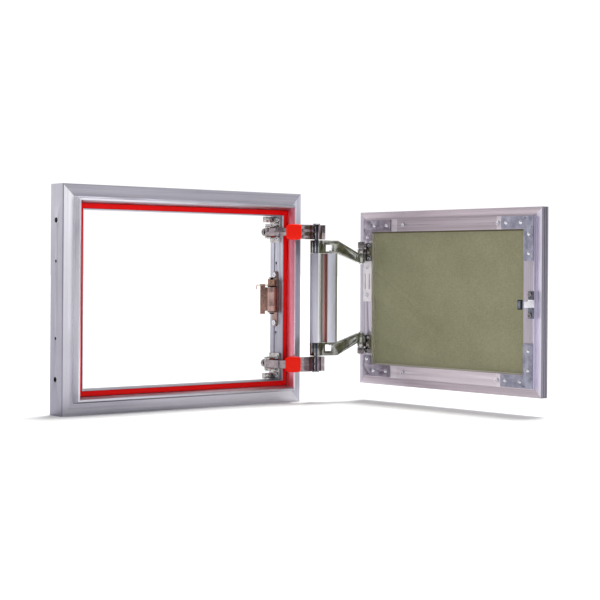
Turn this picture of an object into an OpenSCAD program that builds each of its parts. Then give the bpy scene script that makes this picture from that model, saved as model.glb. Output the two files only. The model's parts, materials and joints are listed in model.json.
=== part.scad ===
// Concealed tile access panel: mitred aluminium frame, tiled door leaf and folding three axis hinges.
// The door is shown swung open. Everything is in millimetres.

/* [Frame] */
// Width of the outer frame
frame_w = 400; // [300:1:600]
// Height of the outer frame
frame_h = 300; // [280:1:600]
// Depth of the frame from its front flange to its back
frame_d = 28.6; // [28:0.1:40]
// Wall of the frame extrusion
frame_wall = 1.6; // [1.2:0.1:2]
// Width of the front flange
flange_w = 16; // [13:0.1:16.5]
// How far the flange rises towards the rim
flange_rise = 1.6; // [0:0.1:2.4]
// Outer edge of the rim's crest, from the outer edge
rim_start = 18.7; // [18:0.1:19]
// Width of the rim's crest
rim_w = 2.2; // [1.8:0.1:2.6]
// Foot of the rim's inner side, from the outer edge
rim_in = 24; // [23:0.1:26]
// Height of the rim, flush with the closed door
rim_h = 11.4; // [10:0.1:12]
// Width of the land that the seal lies on
land_w = 8.4; // [8:0.1:10]
// Depth of the land behind the closed door
land_d = 4.2; // [3.6:0.1:6]
// Thickness of the lip along the seal's inner edge
lip_wall = 1; // [0.8:0.1:1.4]
// Length of each corner key's arm
key_len = 34; // [28:1:35]

/* [Fixing holes] */
// Diameter of the wall fixing holes in the jambs
fix_d = 7; // [5:0.1:8]
// Distance of the wall fixing holes from the ends of a jamb
fix_end = 47; // [46:1:60]
// Diameter of the small screw holes in the jambs
small_d = 4; // [3:0.1:5]
// Distance of the small screw holes from the ends of a jamb
small_end = 100; // [88:1:104]
// Depth of both rows of holes behind the flange
fix_depth = 16; // [13:0.1:17]

/* [Door leaf] */
// Gap between the door's edge and the rim
door_gap = 0.9; // [0.8:0.1:1.5]
// Thickness of the door's edge
door_t = 11.4; // [10:0.1:12.5]
// Width of the hollow edge profile
edge_w = 12.8; // [12:0.1:14]
// Width of the step round the back of the door
step_w = 11.2; // [9:0.1:11.2]
// Inner edge of the raised lip, from the door's edge
lip_in = 29; // [28:0.1:32]
// Height of the raised lip
lip_h = 3.6; // [3:0.1:5]
// Wall of the door's extrusion
door_wall = 1.5; // [1.2:0.1:2]
// Thickness of the plasterboard
board_t = 9.5; // [8:0.1:12.5]
// Length of a corner plate's arm along the rail
plate_len = 68; // [60:1:76]
// Length of a hinge side corner plate's arm down the stile
plate_drop = 41.5; // [38:0.1:42]
// Length of a lock side corner plate's arm down the stile
plate_tall = 71; // [60:1:76]
// Distance of the board screws from the hinge edge
board_screw_hinge = 94; // [84:1:110]
// Distance of the board screws from the lock edge
board_screw_lock = 75; // [75:1:110]
// Thickness of the corner plates and the strike plate
plate_t = 1.2; // [1:0.1:2]
// Diameter of the rivets
rivet_d = 3.2; // [2.4:0.1:4]

/* [Hinge] */
// Distance of the first axis from the jamb's inner wall
axis1_off = 12.6; // [12.4:0.1:13]
// Depth of the first axis behind the flange
axis1_depth = 17.5; // [17:0.1:18]
// Length of the frame arm between its axes
arm1_len = 68.5; // [68:0.1:69]
// Direction of the open frame arm, from the frame's plane
arm1_open = 38.9; // [38:0.1:40]
// Length of the door arm between its axes
arm2_len = 72.9; // [72.5:0.1:73.5]
// Direction of the open door arm, from the frame's plane
arm2_open = 15.1; // [14:0.1:16]
// Distance of the third axis from the door's edge
axis3_edge = 16; // [15:0.1:17]
// Distance of the third axis behind the door's back
axis3_back = 13; // [12.6:0.1:13.4]
// Distance of the frame arms' centre line from the frame's top and bottom
hinge_inset = 55.5; // [54:0.5:60]
// Height of a frame arm's narrow end
arm1_h = 11; // [9:0.5:13]
// Height of a frame arm's wide end
arm1_wide_h = 20.6; // [18:0.1:22]
// Height of a door arm at its knuckle
arm2_h = 18.5; // [17:0.1:20]
// Height of a door arm's eye at the door
eye2_h = 13; // [11:0.1:14]
// How far a door arm's eye is cranked towards the middle
crank = 15.5; // [13:0.1:17]
// Running gap between stacked hinge knuckles
stack_gap = 1.2; // [0.6:0.1:1.4]
// Outer diameter of the knuckles at the second axis
knuckle_d = 17.5; // [16:0.1:19]
// Diameter of the hinge pins
pin_d = 6; // [5:0.1:7]
// Running clearance round a hinge pin
pin_gap = 0.05; // [0.02:0.01:0.08]
// Height of the rubber sleeves
sleeve_h = 22.6; // [22.4:0.2:28]
// Wall of the rubber sleeves beside the arm
sleeve_wall = 2.6; // [1.5:0.1:3.2]

/* [Latches] */
// Height of the latch centre below mid height
latch_drop = 3; // [0:0.5:8]
// Distance of the hinge side latch pin from the jamb
catch_off = 9; // [8.8:0.1:9.4]
// Depth of the hinge side latch pin behind the flange
catch_depth = 14.3; // [14:0.1:16]
// Diameter of the hinge side catch barrel
barrel_d = 13.4; // [10:0.1:13.6]
// Height of the hinge side catch barrel
barrel_h = 34; // [24:1:38]
// Distance of the hinge side latch's screws from its centre
catch_screw_half = 34.5; // [32:0.5:38]
// Width of the lock side latch body across the opening
lock_w = 10; // [9.6:0.1:10.4]
// Depth of the jaws' pivots behind the flange
jaw_depth = 33; // [33:0.1:36]
// Half distance between the jaws' pivots
jaw_spread = 11.5; // [11.5:0.1:13]
// How far the striker reaches behind the door
striker_reach = 28.4; // [27:0.1:29]
// Height of the striker's neck
neck_h = 8.2; // [7:0.1:8.4]
// Height of the striker's head
head_h = 13; // [12:0.1:13]

/* [Screws] */
// Diameter of the thin screws
thin_d = 3; // [2:0.1:3.4]
// Diameter of the thick screws
thick_d = 4; // [3:0.1:4.4]
// Length of the screws into the board
board_screw_len = 11; // [8:0.5:11]
// Length of the screws through the brackets and plates of the door
plate_screw_len = 10; // [7:0.5:10]
// Length of the knuckle pins inside the tie profile
knuckle_pin_len = 26; // [15:1:60]

/* [Hidden] */
$fn = 48;

// Clearances
fit = 0.1;
touch = 0.3;
eps = 0.01;
// How far a cutter passes the faces that it opens
over = 1;
thin_hole = thin_d + 2 * fit;
thick_hole = thick_d + 2 * fit;

// Frame section
inner = rim_in + land_w;
half_h = frame_h / 2;
jamb_x = frame_w - inner;
groove_d = 1;
groove_w = 2.4;
groove_at = 19;
barb_w = 2;
barb_wing = 0.5;
barb_reach = 1.6;
seal_gap = 0.3;
lip_drop = 0.6;
line_at = 7;
line_d = 0.4;
line_w = 0.8;
crest_round = 0.4;
hollow_top = rim_h - 4.4;
land_mid = (rim_in + inner - lip_wall) / 2;
// Outer and inner side of the rim at a height n in front of the frame's plane
function rim_out_at(n) = flange_w + (n - flange_rise) * (rim_start - flange_w) / (rim_h - flange_rise);
function rim_in_at(n) = rim_in - n * (rim_in - rim_start - rim_w) / rim_h;

// Door section and size
door_w = frame_w - 2 * (rim_in + door_gap);
door_h = frame_h - 2 * (rim_in + door_gap);
board_back = board_t - door_t;
lip_mid = (step_w + lip_in) / 2;
lip_w = lip_in - step_w;

// Hinge axes in the plan view, x from the frame's left edge and y out of its front
axis1 = [jamb_x - axis1_off, -axis1_depth];
axis2 = axis1 + arm1_len * [cos(arm1_open), sin(arm1_open)];
axis3 = axis2 + arm2_len * [cos(arm2_open), sin(arm2_open)];

// Heights above the middle of the frame
arm1_z = half_h - hinge_inset;
arm2_top = arm1_z - arm1_wide_h / 2 - stack_gap;
arm2_z = arm2_top - arm2_h / 2;
eye2_z = arm2_z - crank;
tie_half = arm2_top - arm2_h - touch;
latch_z = -latch_drop;

// Frame arm
arm1_t = 7;
wide_t = 8;
eye1_d = 11;
neck = [axis1, axis1 + [1, 19], axis1 + [9, 34.5], axis1 + [23, 46], axis1 + [37, 47], axis2];
neck_bend = 6;
arm_path = rounded(neck, neck_bend);
// Middle of the second bend, where the narrow part ends
arm_split = 8;
narrow_path = part_of(arm_path, 0, arm_split);
wide_path = part_of(arm_path, arm_split, len(arm_path) - 1);
// The sleeve covers the arm from within its first bend to its second
sleeve_first = 7;
sleeve_last = 10;
sleeve_to = axis1 + [22.8, 45.8];
sleeve_path = concat(part_of(arm_path, sleeve_first, sleeve_last), [sleeve_to]);

// Door arm
arm2_t = 8;
arm2_level = 33;
rib_w = 3;
eye2_d = 11;
window = [13, 9.6];
window_at = 19.9;

// Brackets
base_t = 3;
ear_t = 3.2;
frame_base_h = 37;
frame_base_d = 22;
pin3_d = 5;
door_base_h = 26;
ear3_h = 6;
nut_d = 9.8;
nut_h = 9;

// Points on a circle round c from angle a to angle b
function arc(c, r, a, b, n = 6) = [for (i = [0 : n])
    let (t = a + (b - a) * i / n) c + r * [cos(t), sin(t)]];

// Plan view frame of reference: x from the left edge, y out of the front, z from mid height
module plan() translate([-frame_w / 2, -frame_d / 2, half_h]) mirror([0, 1, 0]) children();

// Door leaf's own frame: x from its hinge edge, y behind its back, z from mid height
module on_door() plan() translate([axis3[0] + axis3_back, axis3[1] - axis3_edge, 0])
    rotate([0, 0, 90]) children();

// Door arm's own frame: x along the arm from the second axis, y towards the front
module on_arm2() plan() translate([axis2[0], axis2[1], 0]) rotate([0, 0, arm2_open]) children();

module upper() children();
module lower() mirror([0, 0, 1]) children();

// One side of a mitred rectangle: section as [inwards, out], length along x
module mitred(length, reach, lo, hi) intersection() {
    translate([length, 0, 0]) rotate([0, -90, 0]) linear_extrude(length) children();
    translate([0, hi, 0]) rotate([90, 0, 0]) linear_extrude(hi - lo)
        polygon([[0, 0], [length, 0], [length - reach, reach], [reach, reach]]);
}
module bottom_side(h) translate([0, 0, -h / 2]) children();
module top_side(h) mirror([0, 0, 1]) bottom_side(h) children();
module left_side(h) translate([0, 0, h / 2]) rotate([0, 90, 0]) children();
module right_side(w, h) translate([w, 0, 0]) mirror([1, 0, 0]) left_side(h) children();

// Path through points p whose corners are rounded, each bend starting at a distance before its corner
function unit(v) = v / norm(v);
function rounded(p, reach, n = 4) = [p[0], each [for (i = [1 : len(p) - 2], k = [0 : n])
    let (s = k / n, a = p[i] + reach * unit(p[i - 1] - p[i]), b = p[i] + reach * unit(p[i + 1] - p[i]))
    (1 - s) * (1 - s) * a + 2 * s * (1 - s) * p[i] + s * s * b], p[len(p) - 1]];
function part_of(p, from, to) = [for (i = [from : to]) p[i]];
function side_of(p, w) = [for (i = [0 : len(p) - 1])
    let (j = max(i, 1), k = min(i, len(p) - 2))
    let (d = unit(p[j] - p[j - 1]), m = unit(d + unit(p[k + 1] - p[k])))
    p[i] + w / (m * d) * [-m[1], m[0]]];
// Flat bar of one width along a path
module ribbon(p, width) {
    far = side_of(p, -width / 2);
    polygon(concat(side_of(p, width / 2), [for (i = [len(far) - 1 : -1 : 0]) far[i]]));
}

// Round bar along the z axis from z0 to z1
module rod(d, z0, z1) translate([0, 0, z0]) cylinder(d = d, h = z1 - z0);
// Round bar along the x axis from x0 to x1
module rod_x(d, x0, x1) translate([x0, 0, 0]) rotate([0, 90, 0]) cylinder(d = d, h = x1 - x0);
// Round bar along the y axis from y0 to y1
module rod_y(d, y0, y1) translate([0, y1, 0]) rotate([90, 0, 0]) cylinder(d = d, h = y1 - y0);
// Box from one corner to the other
module block(a, b) translate(a) cube(b - a);

// Pan head screw that points along +y, with a cross slot, its head's underside at y = 0
slot_w = 0.8;
module screw(d, length, head_d, head_h) difference() {
    union() {
        rod_y(head_d, -head_h, 0);
        rod_y(d, -eps, length);
    }
    for (a = [0, 90]) rotate([0, a, 0])
        block([-head_d * 0.3, -head_h - eps, -slot_w / 2], [head_d * 0.3, -head_h * 0.45, slot_w / 2]);
}

// Frame extrusion

module frame_section() difference() {
    polygon([
        [0, -frame_d], [0, 0], [flange_w, flange_rise],
        [rim_out_at(rim_h - crest_round), rim_h - crest_round], [rim_start + crest_round, rim_h],
        [rim_start + rim_w - crest_round, rim_h], [rim_in_at(rim_h - crest_round), rim_h - crest_round],
        [rim_in, 0], [rim_in, -land_d], [inner - lip_wall, -land_d], [inner - lip_wall, -lip_drop],
        [inner, -lip_drop], [inner, -line_at + line_w / 2], [inner - line_d, -line_at],
        [inner, -line_at - line_w / 2], [inner, -groove_at + groove_w / 2],
        [inner - groove_d, -groove_at + groove_w / 2], [inner - groove_d, -groove_at - groove_w / 2],
        [inner, -groove_at - groove_w / 2], [inner, -frame_d]]);
    polygon([
        [frame_wall, -frame_d + frame_wall], [frame_wall, -frame_wall],
        [rim_out_at(flange_rise - frame_wall) + frame_wall, flange_rise - frame_wall],
        [rim_out_at(hollow_top) + frame_wall, hollow_top], [rim_in_at(hollow_top) - frame_wall, hollow_top],
        [rim_in - frame_wall, 0], [rim_in - frame_wall, -land_d - frame_wall],
        [inner - frame_wall - groove_d, -land_d - frame_wall],
        [inner - frame_wall - groove_d, -frame_d + frame_wall]]);
    // Slot that holds the seal's barb
    translate([land_mid - barb_w / 2 - fit, -land_d - frame_wall - eps])
        square([barb_w + 2 * fit, frame_wall + 2 * eps]);
}
module frame_side(length) mitred(length, inner, -frame_d, rim_h) frame_section();

// Depth of the screw holes in a jamb's inner wall, and how far the latches' screws reach in
screw_room = 6;
screw_reach = 4.6;
// Jamb with its wall fixing holes, drilled through both walls
module drilled_jamb() difference() {
    left_side(frame_h) frame_side(frame_h);
    for (s = [-1, 1]) {
        translate([0, -fix_depth, s * (half_h - fix_end)]) rod_x(fix_d, -over, inner + over);
        translate([0, -fix_depth, s * (half_h - small_end)]) rod_x(small_d, -over, inner + over);
    }
}

module frame_top_rail() color("#a9a7b4") plan() top_side(frame_h) frame_side(frame_w);
module frame_bottom_rail() color("#a9a7b4") plan() bottom_side(frame_h) frame_side(frame_w);
module frame_left_jamb() color("#a9a7b4") plan() difference() {
    drilled_jamb();
    for (z = lock_screw_z) translate([inner, -lock_screw_y, z]) rod_x(thin_hole, -screw_room, over);
}
module frame_right_jamb() color("#a9a7b4") plan() difference() {
    translate([frame_w, 0, 0]) mirror([1, 0, 0]) drilled_jamb();
    for (s = [-1, 1], z = frame_screw_z) translate([jamb_x, -frame_screw_y, s * z])
        rod_x(thick_hole, -over, screw_room);
    for (z = catch_screw_z) translate([jamb_x, -catch_screw_y, z]) rod_x(thick_hole, -over, screw_room);
}

// Cast corner keys inside the hollow extrusion
key_lo = frame_wall + touch;
key_hi = inner - frame_wall - groove_d - touch;
key_wall = 4;
key_depth = frame_d - land_d - 2 * frame_wall - barb_reach - 2 * touch;
module key() translate([0, -land_d - frame_wall - barb_reach - touch, 0]) rotate([90, 0, 0])
    linear_extrude(key_depth) difference() {
        polygon([[key_lo, key_lo], [key_len, key_lo], [key_len, key_hi], [key_hi, key_hi],
                 [key_hi, key_len], [key_lo, key_len]]);
        polygon([[key_lo + key_wall, key_lo + key_wall], [key_hi, key_lo + key_wall],
                 [key_hi, key_hi - key_wall], [key_hi - key_wall, key_hi - key_wall],
                 [key_hi - key_wall, key_hi], [key_lo + key_wall, key_hi]]);
    }
module frame_corner_keys() color("silver") plan()
    for (m = [0, 1], n = [0, 1]) translate([m * frame_w, 0, (n * 2 - 1) * half_h])
        mirror([m, 0, 0]) mirror([0, 0, n]) key();

// Rubber seal with a barb that snaps into the land
seal_r = 1.4;
module seal_section() {
    a = rim_in + touch;
    b = inner - lip_wall - fit;
    c = land_mid;
    under = -land_d - frame_wall - fit;
    polygon(concat([[a, -land_d]],
        arc([a + seal_r, -seal_gap - seal_r], seal_r, 180, 90),
        arc([b - seal_r, -seal_gap - seal_r], seal_r, 90, 0),
        [[b, -land_d], [c + barb_w / 2, -land_d], [c + barb_w / 2, under],
         [c + barb_w / 2 + barb_wing, under], [c, -land_d - frame_wall - barb_reach],
         [c - barb_w / 2 - barb_wing, under], [c - barb_w / 2, under], [c - barb_w / 2, -land_d]]));
}
module seal_side(length) mitred(length, inner, -frame_d, 0) seal_section();
module seal_top() color("red") plan() top_side(frame_h) seal_side(frame_w);
module seal_bottom() color("red") plan() bottom_side(frame_h) seal_side(frame_w);
module seal_left() color("red") plan() left_side(frame_h) seal_side(frame_h);
module seal_right() color("red") plan() right_side(frame_w, frame_h) seal_side(frame_h);

// Frame brackets: base plate on the jamb, two ears round the first pin, adjusting lug

frame_screw_z = [arm1_z - 8.5, arm1_z + 17.5];
frame_screw_y = 8.6;
frame_head_d = 6.4;
base_lo = arm1_z - 15;
base_front = 4.8;
base_back = base_front + frame_base_d;
// Clamp block: reach from the jamb, depth in front of the plate's rear edge, heights and hole
clamp_reach = 17;
clamp_edge = 1;
clamp_d = 8;
clamp_z = [arm1_z + 14, arm1_z + 22];
clamp_hole_d = 4;
clamp_hole_x = 12.5;
lug_t = 2.4;
lug_half = 4.2;
lug_edge = 1.1;
lug_y = axis1_depth + eye1_d / 2 + 0.6;
wheel_x = jamb_x - 9.4;
wheel_d = 11.4;
wheel_t = 5.6;
adjust_d = 3;
module frame_bracket() {
    difference() {
        union() {
            block([jamb_x - base_t, -base_back, base_lo], [jamb_x, -base_front, base_lo + frame_base_h]);
            // Ears above and below the arm's eye
            for (z = [arm1_z + arm1_h / 2 + touch, arm1_z - arm1_h / 2 - touch - ear_t])
                translate([0, 0, z]) linear_extrude(ear_t) {
                    translate(axis1) circle(d = eye1_d);
                    translate([axis1[0], axis1[1] - eye1_d / 2]) square([axis1_off - base_t + eps, eye1_d]);
                }
            // Lug behind the pin that carries the adjusting wheel
            block([wheel_x - adjust_d / 2 - lug_edge, -lug_y - lug_t, arm1_z - lug_half],
                  [jamb_x - base_t + eps, -lug_y, arm1_z + lug_half]);
            // Clamp block at the top
            block([jamb_x - clamp_reach, -base_back + clamp_edge, clamp_z[0]],
                  [jamb_x - base_t + eps, -base_back + clamp_edge + clamp_d, clamp_z[1]]);
        }
        translate([axis1[0], axis1[1], 0]) rod(pin_d + 2 * pin_gap, 0, half_h);
        translate([wheel_x, 0, arm1_z]) rod_y(adjust_d + 2 * fit, -lug_y - lug_t - over, -lug_y + over);
        translate([jamb_x - clamp_hole_x, 0, (clamp_z[0] + clamp_z[1]) / 2]) rod_y(clamp_hole_d, -frame_d, 0);
        for (z = frame_screw_z) translate([jamb_x, -frame_screw_y, z])
            rod_x(thick_hole, -base_t - over, over);
    }
}
module upper_frame_bracket() color("#8b8a86") plan() upper() frame_bracket();
module lower_frame_bracket() color("#8b8a86") plan() lower() frame_bracket();

// Knurled wheel on its screw behind the lug
knurl_d = 1.5;
knurl_off = 0.35;
module knurled(d, t, notches) difference() {
    rod(d, 0, t);
    for (i = [0 : notches - 1]) rotate(i * 360 / notches) translate([d / 2 + knurl_off, 0, 0])
        rod(knurl_d, -over, t + over);
}
module frame_adjuster() translate([wheel_x, 0, arm1_z]) {
    translate([0, -lug_y - lug_t - fit, 0]) rotate([90, 0, 0]) knurled(wheel_d, wheel_t, 20);
    rod_y(adjust_d, -lug_y - lug_t - fit - eps, -lug_y);
}
module upper_frame_adjuster() color("#9a9894") plan() upper() frame_adjuster();
module lower_frame_adjuster() color("#9a9894") plan() lower() frame_adjuster();

// First axis pins with a star head on top
pin1_lo = arm1_z - arm1_h / 2 - touch - ear_t - 1;
pin1_hi = arm1_z + arm1_h / 2 + touch + ear_t;
star_d = 10.4;
star_h = 2.4;
star_notch_d = 2.8;
module frame_hinge_pins() color("#d8d8dc") plan() for (s = [0, 1]) mirror([0, 0, s])
    translate([axis1[0], axis1[1], 0]) {
        rod(pin_d, pin1_lo, pin1_hi + eps);
        difference() {
            rod(star_d, pin1_hi, pin1_hi + star_h);
            for (i = [0 : 5]) rotate(i * 60) translate([star_d / 2 + 0.4, 0, 0])
                rod(star_notch_d, pin1_hi - over, pin1_hi + star_h + over);
        }
    }

module frame_bracket_screws() color("#c8c8cc") plan() for (s = [-1, 1], z = frame_screw_z)
    translate([jamb_x - base_t, -frame_screw_y, s * z]) rotate([0, 0, -90])
        screw(thick_d, base_t + frame_wall + groove_d, frame_head_d, 2);

// Hinge side latch: housing on the jamb, barrel catch on a vertical pin, torsion spring

catch_x = jamb_x - catch_off;
catch_axis = [catch_x, -catch_depth];
catch_screw_y = 17;
catch_mid = latch_z + 1.5;
catch_screw_z = [catch_mid + catch_screw_half, catch_mid - catch_screw_half];
housing_t = 1.5;
housing_w = 11;
cap_t = 2;
catch_pin_d = 4;
barrel_lo = latch_z + 1 - barrel_h / 2;
barrel_hi = barrel_lo + barrel_h;
cheek_lo = barrel_lo - touch - cap_t;
spring_wire = 1.4;
spring_turns = 6;
module hinge_latch_housing() color("#7a6a58") plan() difference() {
    union() {
        // Base plate with rounded ears
        for (z = catch_screw_z) translate([jamb_x, -catch_screw_y, z]) rod_x(housing_w, -housing_t, 0);
        block([jamb_x - housing_t, -catch_screw_y - housing_w / 2, catch_screw_z[1]],
              [jamb_x, -catch_screw_y + housing_w / 2, catch_screw_z[0]]);
        // Cheeks above and below the barrel
        for (z = [barrel_hi + touch, barrel_lo - touch - cap_t]) translate([0, 0, z]) linear_extrude(cap_t) {
            translate(catch_axis) circle(d = barrel_d - 1);
            translate([catch_x, -catch_screw_y - housing_w / 2]) square([catch_off, housing_w]);
        }
    }
    translate([catch_x, -catch_depth, 0]) rod(catch_pin_d + 2 * pin_gap, -half_h, half_h);
    for (z = catch_screw_z) translate([jamb_x, -catch_screw_y, z]) rod_x(thick_hole, -housing_t - over, over);
}
spring_lo = barrel_hi + touch + cap_t + fit;
coil_gap = 0.04;
pin_top = spring_lo + (spring_wire + coil_gap) * (spring_turns + 1) + touch;
catch_head_d = 9;
catch_head_h = 1.4;
catch_clip_d = 7;
catch_clip_h = 1.9;
module hinge_latch_pin() color("#b8b4ae") plan() translate([catch_x, -catch_depth, 0]) {
    rod(catch_pin_d, cheek_lo - catch_clip_h / 2, pin_top + eps);
    rod(catch_head_d, pin_top, pin_top + catch_head_h);
    rod(catch_clip_d, cheek_lo - fit - catch_clip_h, cheek_lo - fit);
}

// Round wire swept along stations, each a [point, direction, side] with the side square to the direction
module wire(stations, d, sides = 8) {
    last = len(stations) - 1;
    rings = [for (s = stations, k = [0 : sides - 1])
        s[0] + d / 2 * (cos(k * 360 / sides) * s[2] + sin(k * 360 / sides) * cross(s[1], s[2]))];
    walls = [for (i = [0 : last - 1], k = [0 : sides - 1])
        let (n = (k + 1) % sides) [i * sides + k, (i + 1) * sides + k, (i + 1) * sides + n, i * sides + n]];
    ends = [[for (k = [0 : sides - 1]) k], [for (k = [sides - 1 : -1 : 0]) last * sides + k]];
    polyhedron(points = rings, faces = concat(walls, ends), convexity = 10);
}
// Turns of a coil of mean radius r round the z axis, which climbs by pitch a turn from angle a0
function coil(r, pitch, turns, a0 = 0, steps = 20) = [for (i = [0 : turns * steps])
    let (a = a0 + i * 360 / steps)
    [[r * cos(a), r * sin(a), pitch * i / steps], [-sin(a), cos(a), 0], [cos(a), sin(a), 0]]];
// Bend from one direction into another, round a side that stays the same
function bend(from, d0, d1, side, r, n = 4) = [for (i = [0 : n])
    let (a = 90 * i / n)
    [from + r * (sin(a) * d0 + (1 - cos(a)) * d1), cos(a) * d0 + sin(a) * d1, side]];

// Close wound torsion spring round the pin, with a leg down beside the catch
spring_r = 5.6;
spring_leg = 20;
spring_bend = 1.6;
spring_end = 208;
leg_foot = latch_z + 14.5;
module hinge_latch_spring() color("#c9b79a") plan()
    translate([catch_x, -catch_depth, spring_lo + spring_wire / 2]) mirror([0, 1, 0]) {
        side = [cos(spring_end), sin(spring_end), 0];
        away = [sin(spring_end), -cos(spring_end), 0];
        elbow = bend(spring_r * side + spring_leg * away, away, [0, 0, -1], side, spring_bend);
        knee = elbow[len(elbow) - 1];
        foot = [knee[0] - [0, 0, knee[0][2] + spring_lo - leg_foot], knee[1], side];
        leg = [for (s = [foot, each [for (i = [len(elbow) - 1 : -1 : 0]) elbow[i]]]) [s[0], -s[1], side]];
        wire(concat(leg, coil(spring_r, spring_wire + coil_gap, spring_turns, spring_end)), spring_wire);
    }
module hinge_latch_screws() color("#c8c8cc") plan() for (z = catch_screw_z)
    translate([jamb_x - housing_t, -catch_screw_y, z]) rotate([0, 0, -90])
        screw(thick_d, housing_t + screw_reach, 7.4, 1.8);

// Catch: barrel with a bent plate that reaches back into the opening
band_h = 2;
band_out = 0.3;
plate_bend = 1.2;
catch_plate = [[-3, -5], [-8.7, -12.9], [-7.5, -15.9]];
catch_plate_t = 2.2;
// How far the plate passes the barrel at each end, from beyond the cheeks
catch_over = 4.5;
catch_clear = [-5.6, -8.6];
module hinge_latch_catch() color("#8a7763") plan() difference() {
    translate([catch_x, -catch_depth, 0]) union() {
        rod(barrel_d, barrel_lo, barrel_hi);
        translate([0, 0, barrel_lo]) linear_extrude(barrel_h)
            ribbon(rounded(catch_plate, plate_bend), catch_plate_t);
        translate([0, 0, barrel_lo - catch_over]) linear_extrude(barrel_h + 2 * catch_over)
            ribbon(rounded([catch_clear, catch_plate[1], catch_plate[2]], plate_bend), catch_plate_t);
        // Raised wear bands of the barrel
        for (z = [barrel_lo + 3 * band_h, barrel_hi - 4 * band_h])
            rod(barrel_d + 2 * band_out, z, z + band_h);
    }
    translate([catch_x, -catch_depth, 0]) rod(catch_pin_d + 2 * pin_gap, -half_h, half_h);
}

// Lock side latch: U housing on the left jamb and two sprung jaws that grip the striker's head

lock_screw_y = 20;
lock_screw_z = [latch_z - 22, latch_z + 22];
lock_half = 27;
lock_front = 14;
lock_back = jaw_depth + 4;
lock_wall = 1.2;
lock_ear_d = 5.4;
lock_ear_t = 1;
jaw_x0 = inner + 4.6;
jaw_x1 = inner + lock_w - 0.4;
jaw_pin_d = 2.5;
jaw_open = 7.3;
jaw_face = 9;
jaw_outer = jaw_spread + 2.5;
jaw_wire = 0.8;
jaw_spring_r = 1.95;
jaw_turns = 2.5;
module lock_latch_housing() color("#7a6a58") plan() difference() {
    union() {
        block([inner, -lock_back, latch_z - lock_half],
              [inner + housing_t, -lock_front, latch_z + lock_half]);
        // Cheeks that close the body above and below the jaws
        for (s = [-1, 1]) translate([0, 0, latch_z + s * (jaw_outer + lock_wall)])
            block([inner, -lock_back, -lock_wall / 2], [inner + lock_w, -lock_front - 2, lock_wall / 2]);
        // Back wall
        block([inner, -lock_back - lock_wall, latch_z - jaw_outer - 1.5 * lock_wall],
              [inner + lock_w, -lock_back, latch_z + jaw_outer + 1.5 * lock_wall]);
        // Pin ear beside each jaw
        for (s = [-1, 1]) translate([inner + lock_w, -jaw_depth, latch_z + s * jaw_spread]) {
            rod_x(lock_ear_d, 0, lock_ear_t);
            block([0, jaw_depth - lock_back - lock_wall, -0.4 * lock_ear_d],
                  [lock_ear_t, 0, 0.4 * lock_ear_d]);
        }
    }
    for (s = [-1, 1]) translate([0, -jaw_depth, latch_z + s * jaw_spread])
        rod_x(jaw_pin_d + 2 * pin_gap, inner - over, inner + lock_w + lock_ear_t + over);
    for (z = lock_screw_z) translate([inner, -lock_screw_y, z]) rod_x(thin_hole, -over, housing_t + over);
}
module lock_latch_pins() color("#b8b4ae") plan() for (s = [-1, 1])
    translate([0, -jaw_depth, latch_z + s * jaw_spread])
        rod_x(jaw_pin_d, inner, inner + lock_w + lock_ear_t + 0.4);
module lock_latch_springs() color("#c9b79a") plan() for (s = [-1, 1])
    translate([inner + housing_t + fit + jaw_wire / 2, -jaw_depth, latch_z + s * jaw_spread])
        rotate([0, 90, 0]) wire(coil(jaw_spring_r, jaw_wire + coil_gap, jaw_turns, 0, 14), jaw_wire);
module lock_latch_screws() color("#c8c8cc") plan() for (z = lock_screw_z)
    translate([inner + housing_t, -lock_screw_y, z]) rotate([0, 0, 90])
        screw(thin_d, housing_t + screw_reach, 5.6, 1.6);

// Jaw in its open position: eye, arm and a nose that points at the striker, [from pivot, from centre]
jaw_nose = [[13, jaw_face], [14, jaw_open], [15.6, jaw_open], [17, jaw_face], [16, jaw_outer - 1.4]];
module jaw() translate([jaw_x0, -jaw_depth, 0]) difference() {
    rotate([90, 0, 90]) linear_extrude(jaw_x1 - jaw_x0) {
        translate([0, jaw_spread]) circle(d = 2 * (jaw_spread - jaw_face));
        polygon(concat([[0, jaw_face]], jaw_nose, [[0, jaw_outer]]));
    }
    translate([0, 0, jaw_spread]) rod_x(jaw_pin_d + 2 * pin_gap, -over, lock_w);
}
module upper_jaw() color("#9a9080") plan() translate([0, 0, latch_z]) jaw();
module lower_jaw() color("#9a9080") plan() translate([0, 0, latch_z]) mirror([0, 0, 1]) jaw();

// Frame arms: goose necked bar, narrow at the frame and ribbed at the knuckle

rib_out = 1.5;
stop_lug = [6, 8];
lug_groove = [1.8, 3.6];
module frame_arm() difference() {
    union() {
        translate([0, 0, arm1_z - arm1_h / 2]) linear_extrude(arm1_h) {
            ribbon(narrow_path, arm1_t);
            translate(axis1) circle(d = eye1_d);
        }
        // Web, two flanges and a middle rib of the wide end
        translate([0, 0, arm1_z - arm1_wide_h / 2]) {
            linear_extrude(arm1_wide_h) ribbon(wide_path, wide_t - 2 * rib_out);
            for (z = [0, (arm1_wide_h - rib_w) / 2, arm1_wide_h - rib_w])
                translate([0, 0, z]) linear_extrude(rib_w) ribbon(wide_path, wide_t);
            linear_extrude(arm1_wide_h) {
                translate(axis2) circle(d = knuckle_d);
                // Stop lug on the far side of the knuckle
                translate(axis2) rotate(arm1_open) translate([knuckle_d / 2 - 2, -stop_lug[1] / 2])
                    square(stop_lug);
            }
        }
    }
    translate([axis1[0], axis1[1], 0]) rod(pin_d + 2 * pin_gap, 0, half_h);
    translate([axis2[0], axis2[1], 0]) rod(pin_d + 2 * pin_gap, 0, half_h);
    // Groove between the knuckle and its stop lug
    translate([axis2[0], axis2[1], 0]) rotate(arm1_open) translate([knuckle_d / 2 - 0.2, 1.4, 0])
        block([0, 0, 0], [lug_groove[0], lug_groove[1], half_h]);
}
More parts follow.
